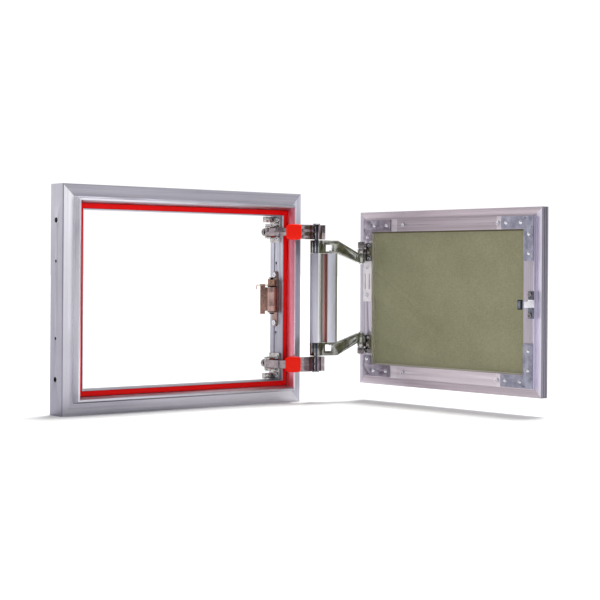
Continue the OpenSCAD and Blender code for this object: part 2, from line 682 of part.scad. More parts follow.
module upper_frame_arm() color("#8f908a") plan() upper() frame_arm();
module lower_frame_arm() color("#8f908a") plan() lower() frame_arm();

// Rubber sleeve round the arm's elbow, fitted to the narrow and the wide end, with bulged sides
sleeve_edge = 2;
sleeve_bulge = 1.5;
module sleeve() difference() {
    for (k = [0 : 2]) translate([0, 0, arm1_z - sleeve_h / 2 + k * sleeve_edge / 2])
        linear_extrude(sleeve_h - k * sleeve_edge)
            ribbon(sleeve_path, wide_t + 2 * sleeve_wall - 2 * sleeve_bulge * pow(1 - k / 2, 2));
    translate([0, 0, arm1_z - arm1_h / 2 - fit]) linear_extrude(arm1_h + 2 * fit)
        ribbon(narrow_path, arm1_t + 2 * fit);
    translate([0, 0, arm1_z - arm1_wide_h / 2 - fit]) linear_extrude(arm1_wide_h + 2 * fit)
        ribbon(wide_path, wide_t + 2 * fit);
}
module upper_arm_sleeve() color("orangered") plan() upper() sleeve();
module lower_arm_sleeve() color("orangered") plan() lower() sleeve();

// Door arms: cranked plate with a square window and two ribs along the crank

arm2_lo = arm2_z - arm2_h / 2;
arm2_hi = arm2_z + arm2_h / 2;
eye2_lo = eye2_z - eye2_h / 2;
eye2_hi = eye2_z + eye2_h / 2;
eye2_flat = 6;
pocket_d = 2.5;
pocket_from = arm2_level + rib_w;
pocket_to = arm2_len - eye2_flat - rib_w;
window_drop = 1.8;
arm2_outline = [[0, arm2_lo], [arm2_level, arm2_lo], [arm2_len - eye2_flat, eye2_lo], [arm2_len, eye2_lo],
    [arm2_len, eye2_hi], [arm2_len - eye2_flat, eye2_hi], [arm2_level, arm2_hi], [0, arm2_hi]];
arm2_pocket = [[pocket_from, arm2_lo + rib_w + 1], [pocket_to, eye2_lo + rib_w + 1],
    [pocket_to, eye2_hi - rib_w], [pocket_from, arm2_hi - rib_w - 1]];
module door_arm() difference() {
    union() {
        translate([0, arm2_t / 2, 0]) rotate([90, 0, 0]) linear_extrude(arm2_t) polygon(arm2_outline);
        rod(knuckle_d, arm2_lo, arm2_hi);
        translate([arm2_len, 0, 0]) rod(eye2_d, eye2_lo, eye2_hi);
    }
    rod(pin_d + 2 * pin_gap, 0, half_h);
    translate([arm2_len, 0, 0]) rod(pin3_d + 2 * pin_gap, 0, half_h);
    // Pockets between the ribs on both faces
    for (y = [-arm2_t / 2 - eps, arm2_t / 2 - pocket_d]) translate([0, y + pocket_d + eps, 0])
        rotate([90, 0, 0]) linear_extrude(pocket_d + eps) polygon(arm2_pocket);
    translate([window_at, 0, arm2_z - window_drop])
        cube([window[0], arm2_t + 2 * over, window[1]], center = true);
    translate([tie_screw_x, 0, 0]) rod(thin_hole, 0, arm2_z);
}
module upper_door_arm() color("#85887f") on_arm2() upper() door_arm();
module lower_door_arm() color("#85887f") on_arm2() lower() door_arm();

// Tie profile: extruded round lobe with a pin port, a web and a box lobe
box_from = 15.5;
box_to = 31.5;
box_half = 5;
tie_wall = 1.8;
tie_web = 1.6;
tie_screw_x = (box_from + box_to) / 2;
module tie_section() {
    difference() {
        circle(d = knuckle_d);
        circle(d = knuckle_d - 2 * tie_wall);
    }
    difference() {
        union() {
            circle(d = pin_d + 4);
            for (a = [30, 150, 270]) rotate(a) translate([0, -tie_web / 2])
                square([knuckle_d / 2 - 0.5, tie_web]);
        }
        circle(d = pin_d + 2 * pin_gap);
    }
    // Neck that joins the two lobes
    translate([knuckle_d / 2 - 1, -4]) square([box_from - knuckle_d / 2 + 2, 2]);
    difference() {
        translate([box_from, -box_half]) square([box_to - box_from, 2 * box_half]);
        translate([box_from + tie_wall, -box_half + tie_wall])
            square([box_to - box_from - 2 * tie_wall, 2 * (box_half - tie_wall)]);
    }
    // Screw port in the middle of the box lobe
    difference() {
        union() {
            translate([tie_screw_x, 0]) circle(d = thin_hole + 2 * tie_web);
            translate([tie_screw_x - tie_web / 2, -box_half + 1]) square([tie_web, 2 * box_half - 2]);
        }
        translate([tie_screw_x, 0]) circle(d = thin_hole);
    }
}
module tie_profile() color("#b4b2bd") on_arm2() translate([0, 0, -tie_half])
    linear_extrude(2 * tie_half) tie_section();

// Second axis pins: head on the frame arm's knuckle, through both arms into the tie profile
knuckle_top = arm1_z + arm1_wide_h / 2;
knuckle_head = [10, 1.8];
module knuckle_pins() color("#d8d8dc") on_arm2() for (s = [0, 1]) mirror([0, 0, s]) {
    rod(pin_d, tie_half - knuckle_pin_len, knuckle_top + touch + eps);
    rod(knuckle_head[0], knuckle_top + touch, knuckle_top + touch + knuckle_head[1]);
}
// Screws up through the door arms' lower edge into the tie profile's port
module tie_screws() color("#c8c8cc") on_arm2() for (s = [0, 1]) mirror([0, 0, s])
    translate([tie_screw_x, 0, arm2_z - window_drop - window[1] / 2]) rotate([-90, 0, 0])
        screw(thin_d, 16, 5.4, 1.6);

// Door leaf extrusion: hollow edge, step and raised lip behind the board

edge_groove = 0.5;
step_groove_w = 1.8;
step_groove_d = 0.6;
module door_section() difference() {
    union() {
        difference() {
            // Hollow edge profile, its back flush with the step
            translate([0, -door_t]) square([edge_w, door_t]);
            translate([door_wall, -door_t + door_wall])
                square([edge_w - 2 * door_wall, door_t - 2 * door_wall]);
        }
        // Raised lip with a return that meets the board
        polygon([[step_w, -door_wall], [edge_w, -door_wall], [edge_w, lip_h - door_wall],
                 [lip_in - door_wall, lip_h - door_wall], [lip_in - door_wall, board_back],
                 [lip_in, board_back], [lip_in, lip_h], [step_w, lip_h]]);
    }
    // Two fine grooves along the door's edge
    for (y = [-door_t * 0.36, -door_t * 0.66]) translate([-eps, y - edge_groove])
        square([edge_groove + eps, 2 * edge_groove]);
    // Groove along the foot of the lip
    translate([step_w - step_groove_w, -step_groove_d]) square([step_groove_w, step_groove_d + eps]);
}
module door_side(length) mitred(length, lip_in, -door_t, lip_h) door_section();

// Places along the lip, each as [from the nearest edge of the leaf, from its end]
rivet_end = 8;
rail_rivets = [[plate_len / 2, lip_mid], [plate_len - rivet_end, lip_mid]];
// Rivets of a corner plate on the hinge side, 0, and on the lock side, 1
rivets = [concat(rail_rivets, [[lip_mid, plate_drop - 5]]),
    concat(rail_rivets, [[lip_mid, plate_tall / 2], [lip_mid, plate_tall - rivet_end - 2]])];
screw_u = [board_screw_hinge, door_w - board_screw_lock];

// Children at a corner: i is 0 at the hinge edge and 1 at the lock edge, j is 0 below and 1 above
module corner_frame(i, j) translate([i * door_w, 0, (j - 0.5) * door_h])
    mirror([i, 0, 0]) mirror([0, 0, j]) children();
module rivet_holes() for (i = [0, 1], j = [0, 1]) corner_frame(i, j)
    for (p = rivets[i]) translate([p[0], 0, p[1]]) rod_y(rivet_d + 2 * fit, -fit, lip_h + plate_t + over);
// Holes of the thin screws, to a depth in front of the leaf's back
module thin_screw_hole(depth) rod_y(thin_hole, -depth, lip_h + over);
module board_screw_holes(depth) for (u = screw_u, s = [-1, 1])
    translate([u, 0, s * (door_h / 2 - lip_mid)]) thin_screw_hole(depth);
module hinge_stile_holes(depth) {
    for (s = [-1, 1], p = door_screw_at) translate([p[0], 0, s * p[1]]) thin_screw_hole(depth);
    for (z = strike_screw_z) translate([lip_mid, 0, z]) thin_screw_hole(depth);
}
module lock_stile_holes(depth) for (z = striker_screw_z)
    translate([door_w - striker_mid, 0, z]) thin_screw_hole(depth);

module door_top_rail() color("#a79ba1") on_door() difference() {
    top_side(door_h) door_side(door_w);
    rivet_holes();
    board_screw_holes(0);
}
module door_bottom_rail() color("#a79ba1") on_door() difference() {
    bottom_side(door_h) door_side(door_w);
    rivet_holes();
    board_screw_holes(0);
}
module door_hinge_stile() color("#a79ba1") on_door() difference() {
    left_side(door_h) door_side(door_h);
    rivet_holes();
    hinge_stile_holes(0);
}
module door_lock_stile() color("#a79ba1") on_door() difference() {
    right_side(door_w, door_h) door_side(door_h);
    rivet_holes();
    lock_stile_holes(0);
}
board_hole = 8;
module door_board() color("#888b6c") on_door() difference() {
    block([edge_w + fit, -door_t, -door_h / 2 + edge_w + fit],
          [door_w - edge_w - fit, board_back, door_h / 2 - edge_w - fit]);
    board_screw_holes(board_hole);
    hinge_stile_holes(board_hole);
    lock_stile_holes(board_hole);
}

// Corner plates riveted to the lip
plate_edge = 0.4;
plate_round = 2;
spare_d = 1.8;
spare_at = [26, 14.5];
module corner_plate(drop, i) {
    a = step_w + plate_edge;
    b = lip_in - plate_edge;
    spare = concat([spare_at, [spare_at[1], spare_at[0]]],
        i == 0 ? [[(rail_rivets[0][0] + rail_rivets[1][0]) / 2, lip_mid]] : []);
    difference() {
        translate([0, lip_h + plate_t, 0]) rotate([90, 0, 0]) linear_extrude(plate_t) polygon(concat(
            [[a, a], [plate_len - plate_round, a]],
            arc([plate_len - plate_round, a + plate_round], plate_round, -90, 0),
            arc([plate_len - plate_round, b - plate_round], plate_round, 0, 90),
            [[b, b]],
            arc([b - plate_round, drop - plate_round], plate_round, 0, 90),
            arc([a + plate_round, drop - plate_round], plate_round, 90, 180)));
        for (p = rivets[i]) translate([p[0], 0, p[1]]) rod_y(rivet_d + 2 * fit, 0, lip_h + plate_t + over);
        // Spare holes of the pressed plate
        for (p = spare) translate([p[0], 0, p[1]]) rod_y(spare_d, 0, lip_h + plate_t + over);
    }
}
module at_corner(i, j) on_door() corner_frame(i, j) children();
module upper_hinge_corner_plate() color("#7d7c86") at_corner(0, 1) corner_plate(plate_drop, 0);
module lower_hinge_corner_plate() color("#7d7c86") at_corner(0, 0) corner_plate(plate_drop, 0);
module upper_lock_corner_plate() color("#93a0ae") at_corner(1, 1) corner_plate(plate_tall, 1);
module lower_lock_corner_plate() color("#93a0ae") at_corner(1, 0) corner_plate(plate_tall, 1);

// Domed blind rivets through the corner plates
dome_d = 7.4;
dome_drop = 2.1;
module rivet() {
    rod_y(rivet_d, lip_h - door_wall - 0.6, lip_h + plate_t + eps);
    translate([0, lip_h + plate_t, 0]) rotate([-90, 0, 0]) intersection() {
        translate([0, 0, -dome_drop]) sphere(d = dome_d);
        rod(dome_d + over, 0, dome_d / 2);
    }
}
module corner_rivets() color("#c9c8cc") for (i = [0, 1], j = [0, 1]) at_corner(i, j)
    for (p = rivets[i]) translate([p[0], 0, p[1]]) rivet();

module board_screws() color("#c8c8cc") on_door() for (u = screw_u, s = [-1, 1])
    translate([u, lip_h, s * (door_h / 2 - lip_mid)]) mirror([0, 1, 0])
        screw(thin_d, board_screw_len, 5.6, 1.6);

// Door brackets: base plate on the lip, thick ear round the third pin

ear3_lo = eye2_hi + touch;
door_base_top = ear3_lo + ear3_h + 9;
door_base_lo = door_base_top - door_base_h;
door_base_t = 2.4;
door_hole_d = 3.4;
// Distance of the bracket's screws from its sides and from its ends
screw_side = 4.2;
screw_end = 3.6;
door_screw_at = [[step_w + screw_side, door_base_top - screw_end],
    [lip_in - screw_side, door_base_top - screw_end], [lip_in - screw_side, door_base_lo + screw_end]];
module door_bracket() difference() {
    union() {
        block([step_w + 1, lip_h, door_base_lo], [lip_in, lip_h + door_base_t, door_base_top]);
        translate([0, 0, ear3_lo]) linear_extrude(ear3_h) {
            translate([axis3_edge, axis3_back]) circle(d = eye2_d);
            translate([axis3_edge - eye2_d / 2, lip_h + door_base_t - eps])
                square([eye2_d, axis3_back - lip_h - door_base_t + eps]);
        }
        // Stiffening rib along the inner edge, clear of the screws
        block([lip_in - 1.6, lip_h, door_base_lo + 2 * screw_end],
              [lip_in, lip_h + 2 * door_base_t, door_base_top - 2 * screw_end]);
    }
    translate([axis3_edge, axis3_back, 0]) rod(pin3_d + 2 * pin_gap, 0, half_h);
    for (p = door_screw_at) translate([p[0], 0, p[1]])
        rod_y(thin_hole, lip_h - over, lip_h + door_base_t + over);
    // Dark adjusting hole at the top of the plate
    translate([lip_mid, 0, door_base_top - screw_end])
        rod_y(door_hole_d, lip_h - over, lip_h + door_base_t + over);
}
module upper_door_bracket() color("#7f7f7a") on_door() upper() door_bracket();
module lower_door_bracket() color("#7f7f7a") on_door() lower() door_bracket();

// Knurled nut on the third pin above the ear
washer_t = 1.2;
nut_z = ear3_lo + ear3_h + washer_t;
module door_adjuster() translate([axis3_edge, axis3_back, nut_z]) difference() {
    knurled(nut_d, nut_h, 18);
    rod(pin3_d + 2 * pin_gap, -over, nut_h + over);
}
module upper_door_adjuster() color("#77716f") on_door() upper() door_adjuster();
module lower_door_adjuster() color("#77716f") on_door() lower() door_adjuster();

// Third axis pins with a washer above the ear and a clip below the arm's eye
washer_d = 8.6;
clip3 = [8, 1.5];
module door_hinge_pins() color("#e2e2e8") on_door() for (s = [0, 1]) mirror([0, 0, s])
    translate([axis3_edge, axis3_back, 0]) {
        rod(pin3_d, eye2_lo - touch - 1.5 * clip3[1], nut_z + nut_h + 1);
        rod(washer_d, nut_z - washer_t + fit, nut_z - fit);
        rod(clip3[0], eye2_lo - touch - clip3[1], eye2_lo - touch);
    }
module door_bracket_screws() color("#c8c8cc") on_door() for (s = [-1, 1], p = door_screw_at)
    translate([p[0], lip_h + door_base_t, s * p[1]]) mirror([0, 1, 0]) screw(thin_d, plate_screw_len, 5, 1.4);

// Slotted white strike plate on the hinge stile
strike_lo = latch_z - 2;
strike_hi = door_base_lo - 0.6;
strike_half = (lip_w - 1.2) / 2;
strike_end = 9;
strike_screw_z = [strike_lo + strike_end, strike_hi - strike_end];
strike_slot_x = 4.4;
strike_slot_w = 2.2;
module strike_plate() color("#ece6e8") on_door() translate([lip_mid, lip_h, 0]) difference() {
    block([-strike_half, 0, strike_lo], [strike_half, plate_t, strike_hi]);
    for (z = strike_screw_z) translate([0, 0, z]) rod_y(thin_hole, -over, plate_t + over);
    for (x = [-strike_slot_x, strike_slot_x]) translate([x, 0, 0])
        block([-strike_slot_w / 2, -over, strike_lo + 2 * strike_end],
              [strike_slot_w / 2, plate_t + over, strike_hi - 2 * strike_end]);
}
module strike_plate_screws() color("#8c8486") on_door() for (z = strike_screw_z)
    translate([lip_mid, lip_h + plate_t, z]) mirror([0, 1, 0]) screw(thin_d, plate_screw_len - 1, 5.6, 1.2);

// Striker on the lock stile: screwed plate, nylon neck block and a steel head for the jaws

striker_mid = 15.6;
striker_half_w = 2.7;
striker_screw_z = [latch_z - 14, latch_z + 13];
striker_pin_d = 3;
striker_t = 2;
striker_w = 9.2;
striker_half = 18;
head_t = 6;
head_edge = 2;
module striker_plate() color("#9fa6b0") on_door() difference() {
    translate([door_w - striker_mid, 0, latch_z]) union() {
        translate([step_w - striker_mid + 0.6, lip_h, -0.5])
            block([0, 0, -striker_half], [striker_w, striker_t, striker_half]);
        rod_y(striker_pin_d, lip_h + striker_t / 2, striker_reach - 1);
        // Steel head with a chamfered tip
        rotate([0, 90, 0]) translate([0, 0, -striker_half_w]) linear_extrude(2 * striker_half_w)
            polygon([[-head_h / 2, striker_reach - head_t], [-head_h / 2, striker_reach - head_edge],
                     [-head_h / 2 + head_edge, striker_reach], [head_h / 2 - head_edge, striker_reach],
                     [head_h / 2, striker_reach - head_edge], [head_h / 2, striker_reach - head_t]]);
    }
    for (z = striker_screw_z) translate([door_w - striker_mid, 0, z])
        rod_y(thin_hole, lip_h - over, lip_h + striker_t + over);
}
module striker_block() color("#f2f1f4") on_door() translate([door_w - striker_mid, 0, latch_z]) difference() {
    block([-striker_half_w, lip_h + striker_t, -neck_h / 2],
          [striker_half_w, striker_reach - head_t - 1.6, neck_h / 2]);
    rod_y(striker_pin_d + 2 * fit, lip_h, striker_reach);
}
module striker_screws() color("#b9bcc4") on_door() for (z = striker_screw_z)
    translate([door_w - striker_mid, lip_h + striker_t, z]) mirror([0, 1, 0])
        screw(thin_d, plate_screw_len, 6.4, 1.8);

frame_top_rail();
frame_bottom_rail();
frame_left_jamb();
frame_right_jamb();
frame_corner_keys();
seal_top();
seal_bottom();
seal_left();
seal_right();
upper_frame_bracket();
lower_frame_bracket();
upper_frame_adjuster();
lower_frame_adjuster();
frame_hinge_pins();
frame_bracket_screws();
hinge_latch_housing();
hinge_latch_pin();
hinge_latch_spring();
hinge_latch_screws();
hinge_latch_catch();
lock_latch_housing();
lock_latch_pins();
lock_latch_springs();
lock_latch_screws();
upper_jaw();
lower_jaw();
upper_frame_arm();
lower_frame_arm();
upper_arm_sleeve();
lower_arm_sleeve();
upper_door_arm();
lower_door_arm();
tie_profile();
knuckle_pins();
tie_screws();
door_top_rail();
door_bottom_rail();
door_hinge_stile();
door_lock_stile();
door_board();
upper_hinge_corner_plate();
lower_hinge_corner_plate();
upper_lock_corner_plate();
lower_lock_corner_plate();
corner_rivets();
board_screws();
upper_door_bracket();
lower_door_bracket();
upper_door_adjuster();
lower_door_adjuster();
door_hinge_pins();
door_bracket_screws();
strike_plate();
strike_plate_screws();
striker_plate();
striker_block();
striker_screws();
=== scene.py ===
import json
import math

import bpy
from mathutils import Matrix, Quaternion, Vector

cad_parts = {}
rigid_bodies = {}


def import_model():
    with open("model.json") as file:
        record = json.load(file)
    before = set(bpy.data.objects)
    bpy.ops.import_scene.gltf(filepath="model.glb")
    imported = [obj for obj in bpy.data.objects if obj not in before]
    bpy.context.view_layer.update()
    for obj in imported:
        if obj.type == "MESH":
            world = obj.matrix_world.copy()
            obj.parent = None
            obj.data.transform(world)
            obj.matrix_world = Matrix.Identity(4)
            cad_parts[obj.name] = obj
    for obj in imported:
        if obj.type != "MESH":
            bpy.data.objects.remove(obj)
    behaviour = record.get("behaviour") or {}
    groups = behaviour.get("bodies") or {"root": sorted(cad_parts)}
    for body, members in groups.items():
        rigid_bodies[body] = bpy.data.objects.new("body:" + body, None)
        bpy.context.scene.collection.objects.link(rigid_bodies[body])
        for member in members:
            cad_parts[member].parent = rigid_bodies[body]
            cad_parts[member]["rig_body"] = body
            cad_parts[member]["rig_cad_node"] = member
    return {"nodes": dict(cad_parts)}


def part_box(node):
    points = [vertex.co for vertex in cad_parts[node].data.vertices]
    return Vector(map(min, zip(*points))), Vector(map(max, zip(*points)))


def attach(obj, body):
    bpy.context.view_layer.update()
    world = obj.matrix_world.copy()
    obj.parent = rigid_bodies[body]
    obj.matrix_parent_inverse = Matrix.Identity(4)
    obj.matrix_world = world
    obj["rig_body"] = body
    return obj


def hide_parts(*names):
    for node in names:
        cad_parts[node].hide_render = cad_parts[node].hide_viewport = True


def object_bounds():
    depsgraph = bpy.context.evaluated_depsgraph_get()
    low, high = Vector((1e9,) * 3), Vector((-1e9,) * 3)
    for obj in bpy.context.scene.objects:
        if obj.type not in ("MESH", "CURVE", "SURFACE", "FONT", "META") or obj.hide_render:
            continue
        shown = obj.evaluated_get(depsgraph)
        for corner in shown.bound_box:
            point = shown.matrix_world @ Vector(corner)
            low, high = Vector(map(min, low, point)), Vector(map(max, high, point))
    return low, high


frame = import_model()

cad_low, cad_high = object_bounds()

# Camera
# A long lens at about the hatch's own height, to the left of its front and level. The picture is cut a
# little low, and leans by a third of a degree.
eye = Vector((-1.252, -1.7285, 0.1922))
look = Vector((0.646, 0.763, 0.0))
lean = 0.0063
focal_length = 93.02
cut_low = -0.0524
camera = bpy.data.objects.new("camera", bpy.data.cameras.new("camera"))
camera.data.sensor_width = 36.0
camera.data.lens = focal_length
camera.data.shift_y = cut_low
camera.data.clip_end = 100.0
camera.location = eye
camera.rotation_mode = "QUATERNION"
camera.rotation_quaternion = look.to_track_quat("-Z", "Y") @ Quaternion((0.0, 0.0, 1.0), lean)
bpy.context.scene.collection.objects.link(camera)
bpy.context.scene.camera = camera


# Frame extrusion
# Four mitred lengths of hollow aluminium extrusion, mill finished: the die leaves fine lines along each
# length, and handling leaves dull patches. Every edge is broken by a hair, so that it catches the light.


class Wire:
    """A shader socket that can be used in sums, so that a finish reads as an expression."""

    def __init__(self, socket):
        self.socket = socket

    def node(self, kind, settings=None, inputs=None, out=0):
        """Adds a node of a kind: its settings first, then the values or links of its sockets."""
        tree = self.socket.id_data
        made = tree.nodes.new("ShaderNode" + kind)
        for name, value in (settings or {}).items():
            setattr(made, name, value)
        for name, value in (inputs or {}).items():
            if isinstance(value, Wire):
                tree.links.new(value.socket, made.inputs[name])
            else:
                made.inputs[name].default_value = value
        return Wire(made.outputs[out])

    def into(self, shader, name):
        """Feeds this socket to one of the shader's own."""
        self.socket.id_data.links.new(self.socket, shader.inputs[name])

    def maths(self, operation, a, b):
        return self.node("Math", {"operation": operation}, {0: a, 1: b})

    def __add__(self, other):
        return self.maths("ADD", self, other)

    def __radd__(self, other):
        return self.maths("ADD", other, self)

    def __sub__(self, other):
        return self.maths("SUBTRACT", self, other)

    def __rsub__(self, other):
        return self.maths("SUBTRACT", other, self)

    def __mul__(self, other):
        return self.maths("MULTIPLY", self, other)

    def __rmul__(self, other):
        return self.maths("MULTIPLY", other, self)


def new_finish(name, **fixed):
    """A new material, its shader with the fixed values set, and the Object coordinates to paint by."""
    material = bpy.data.materials.new(name)
    material.use_nodes = True
    shader = material.node_tree.nodes["Principled BSDF"]
    for socket, value in fixed.items():
        shader.inputs[socket.replace("_", " ")].default_value = value
    place = material.node_tree.nodes.new("ShaderNodeTexCoord").outputs["Object"]
    return material, shader, Wire(place)


def screen(red, green, blue):
    """A colour as it is named on a screen, from 0 to 255, in the linear light that shaders use."""
    linear = [((c / 255 + 0.055) / 1.055) ** 2.4 if c > 10 else c / 3294 for c in (red, green, blue)]
    return (*linear, 1.0)


def axis_of(place, axis):
    """One coordinate of a place: 0, 1 or 2 for x, y or z."""
    return place.node("SeparateXYZ", {}, {0: place}, out=axis)


def noise(place, per_metre, detail=2.0, sharpness=0.5):
    """Cloudy variation from 0 to 1 with so many lumps a metre along x, y and z."""
    scaled = place.node("Mapping", {}, {"Vector": place, "Scale": per_metre})
    inputs = {"Vector": scaled, "Scale": 1.0, "Detail": detail, "Roughness": sharpness}
    return place.node("TexNoise", {}, inputs)


def stretch(wire, low, high, to_low=0.0, to_high=1.0):
    """The part of a wire from low to high, spread from to_low to to_high and held there."""
    names = {"Value": wire, "From Min": low, "From Max": high, "To Min": to_low, "To Max": to_high}
    return wire.node("MapRange", {}, names)


def between(wire, low, high, soft=0.0003):
    """A mask that is 1 from low to high and fades out just past both."""
    return stretch(wire, low - soft, low) * stretch(wire, high, high + soft, 1.0, 0.0)


def blend_colours(mask, low, high):
    """The colour low where the mask is 0, and high where it is 1."""
    return mask.node("Mix", {"data_type": "RGBA"}, {0: mask, 6: low, 7: high}, out=2)


def bump(height, strength, depth):
    """Surface relief of a real depth in metres."""
    return height.node("Bump", {}, {"Height": height, "Strength": strength, "Distance": depth})


def marked(colour, place, marks):
    """A colour with marks over it, each a mask made from the place and the colour that shows through it."""
    for mask, through in marks:
        colour = blend_colours(mask(place), colour, through)
    return colour


def drawn_aluminium(name, along, dark, light, gloss=0.36, shade=0.0, marks=()):
    """Mill finish with die lines along one axis, with painted shade that darkens it downwards by the shade.
    """
    material, shader, place = new_finish(name, Metallic=1.0)

    def lines(per_metre, run, detail):
        """Fine lines, so many a metre across the length and as many a metre along it as the run."""
        scale = [per_metre] * 3
        scale[along] = run
        return noise(place, scale, detail)

    bands = lines(per_metre=300.0, run=3.0, detail=3.0)
    hairs = lines(per_metre=1300.0, run=8.0, detail=2.0)
    smudges = noise(place, (22.0, 22.0, 22.0), detail=4.0, sharpness=0.6)
    tone = stretch(bands * 0.4 + hairs * 0.4 + smudges * 0.2, 0.34, 0.66)
    # Painted shade: darker towards the bottom by the shade, and lighter there where the shade is negative.
    height = stretch(axis_of(place, 2), cad_low.z, cad_high.z, -shade, 0.0)
    marked(blend_colours(tone + height, dark, light), place, marks).into(shader, "Base Color")
    dullness = stretch(smudges, 0.4, 0.7, 0.0, 0.14) + stretch(hairs, 0.3, 0.7, gloss - 0.05, gloss + 0.09)
    dullness.into(shader, "Roughness")
    bump(bands * 0.4 + hairs * 0.6, strength=0.35, depth=0.00006).into(shader, "Normal")
    return material


twin_points = 1e-6
flat_facets = math.radians(0.3)
shallow_angle = math.radians(35.0)
sharp_angle = math.radians(50.0)


def stand_in(name):
    """A loose copy of a solid, merged and free of its triangles, to be worked on in its place."""
    solid = frame["nodes"][name]
    bpy.ops.object.select_all(action="DESELECT")
    solid.select_set(True)
    bpy.context.view_layer.objects.active = solid
    bpy.ops.object.duplicate()
    piece = bpy.context.active_object
    piece.name = name + "_finished"
    piece.data.name = piece.name
    del piece["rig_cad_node"]
    bpy.ops.mesh.customdata_custom_splitnormals_clear()
    bpy.ops.object.mode_set(mode="EDIT")
    bpy.ops.mesh.select_all(action="SELECT")
    bpy.ops.mesh.remove_doubles(threshold=twin_points)
    bpy.ops.mesh.dissolve_limited(angle_limit=flat_facets)
    bpy.ops.object.mode_set(mode="OBJECT")
    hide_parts(name)
    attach(piece, solid["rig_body"])
    return piece


def apply_all(piece):
    """Applies a piece's modifiers in their order."""
    bpy.ops.object.select_all(action="DESELECT")
    piece.select_set(True)
    bpy.context.view_layer.objects.active = piece
    for modifier in list(piece.modifiers):
        bpy.ops.object.modifier_apply(modifier=modifier.name)


def break_edges(piece, width, clamp=True):
    """Rounds the sharp edges of a piece, and shades its shallow ones smoothly."""
    edge = piece.modifiers.new("edge", "BEVEL")
    edge.width = width
    edge.segments = 2
    edge.limit_method = "ANGLE"
    edge.angle_limit = sharp_angle
    edge.use_clamp_overlap = clamp
    apply_all(piece)
    bpy.ops.object.shade_smooth_by_angle(angle=shallow_angle)


def paint(piece, finish):
    """Gives a piece one finish all over."""
    piece.data.materials.clear()
    piece.data.materials.append(finish)


def finish_solids(finish, width, *names, clamp=True):
    """Puts a copy with broken edges and a finish in the place of each solid."""
    for name in names:
        piece = stand_in(name)
        break_edges(piece, width, clamp)
        paint(piece, finish)


jamb_low, jamb_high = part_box("frame_left_jamb")
rim_height = 0.0114
face = jamb_low.y + rim_height
inner_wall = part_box("frame_right_jamb")[0].x
seal_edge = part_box("seal_right")[1].x
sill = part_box("frame_bottom_rail")[1].z
sill_bright_from = -0.12
sill_bright_to = 0.12
shade_low = 0.05
shade_high = 0.24


def outer_corner(place):
    """The corner between the left side and the face, which is coloured darker."""
    near = between(axis_of(place, 0), jamb_low.x + 0.0001, jamb_low.x + 0.0014)
    return near * stretch(axis_of(place, 1), face + 0.0001, face + 0.0004, 1.0, 0.0)


def left_side_painted_shade(place):
    """The frame's left side, with painted shade that makes it darker than its face, and more so towards its
    foot.
    """
    side = stretch(axis_of(place, 0), jamb_low.x + 0.0002, jamb_low.x + 0.0004, 1.0, 0.0)
    return side * stretch(axis_of(place, 2), jamb_low.z, jamb_high.z, 0.92, 0.55)


def jamb_foot_painted_shade(place):
    """The left jamb's face, with painted shade that darkens it towards its foot."""
    return stretch(axis_of(place, 2), jamb_low.z, jamb_high.z * 0.9, 0.74, 0.0)


def sill_end_painted_light(place):
    """The right half of the bottom rail, with painted light that makes it brighter than its left."""
    low = stretch(axis_of(place, 2), sill - 0.0024, sill - 0.0004, 1.0, 0.0)
    return low * stretch(axis_of(place, 0), sill_bright_from, sill_bright_to, 0.0, 0.46)


def jamb_wall(place):
    """The right jamb's inner wall, which lies in the shade of the opening towards its foot."""
    wall = between(axis_of(place, 0), inner_wall - 0.0004, inner_wall + 0.0014)
    return wall * stretch(axis_of(place, 2), shade_low, shade_high, 0.6, 0.15)


def rim_crest_highlight(place):
    """The crest of the rim, with a painted highlight."""
    return stretch(axis_of(place, 1), jamb_low.y + 0.0003, jamb_low.y + 0.0007, 0.8, 0.0)


def inner_slope_red_reflection(place):
    """The slope inside the right jamb, with a painted reflection of the red seal below it."""
    slope = between(axis_of(place, 0), seal_edge - 0.0001, seal_edge + 0.0039)
    return slope * stretch(axis_of(place, 1), face - 0.0003, face + 0.0001, 1.0, 0.0)


hairline = 0.0003
# The rails and the jambs are lit and shaded copies of one aluminium: painted shade makes the rails darker,
# and painted light makes the jambs lighter, the left one most.
rim_painted_highlight = (rim_crest_highlight, screen(236, 234, 242))
frame_across_painted_shade = drawn_aluminium(
    "frame_aluminium_across_painted_shade", 0, screen(152, 149, 159), screen(192, 190, 200), shade=0.1,
    marks=[(sill_end_painted_light, screen(250, 248, 255)), rim_painted_highlight])
frame_left_painted_light = drawn_aluminium(
    "frame_aluminium_left_painted_light", 2, screen(218, 216, 228), screen(255, 254, 255), gloss=0.32,
    marks=[(jamb_foot_painted_shade, screen(140, 138, 150)), rim_painted_highlight, (left_side_painted_shade, screen(150, 147, 160)),
           (outer_corner, screen(132, 129, 140))])
frame_right_painted_light = drawn_aluminium(
    "frame_aluminium_right_painted_light", 2, screen(186, 186, 198), screen(222, 222, 234), gloss=0.32, shade=0.4,
    marks=[rim_painted_highlight, (inner_slope_red_reflection, screen(240, 150, 168)), (jamb_wall, screen(112, 108, 118))])
finish_solids(frame_across_painted_shade, hairline, "frame_top_rail", "frame_bottom_rail")
finish_solids(frame_left_painted_light, hairline, "frame_left_jamb")
finish_solids(frame_right_painted_light, hairline, "frame_right_jamb")


# Corner keys
# Zinc castings inside the hollow corners, which hold the mitres shut. Nothing of them shows from outside.
cast, shader, place = new_finish("cast_zinc", Metallic=1.0, Roughness=0.6)
pores = noise(place, (400.0, 400.0, 400.0))
blend_colours(pores, screen(150, 150, 152), screen(178, 178, 180)).into(shader, "Base Color")
paint(frame["nodes"]["frame_corner_keys"], cast)


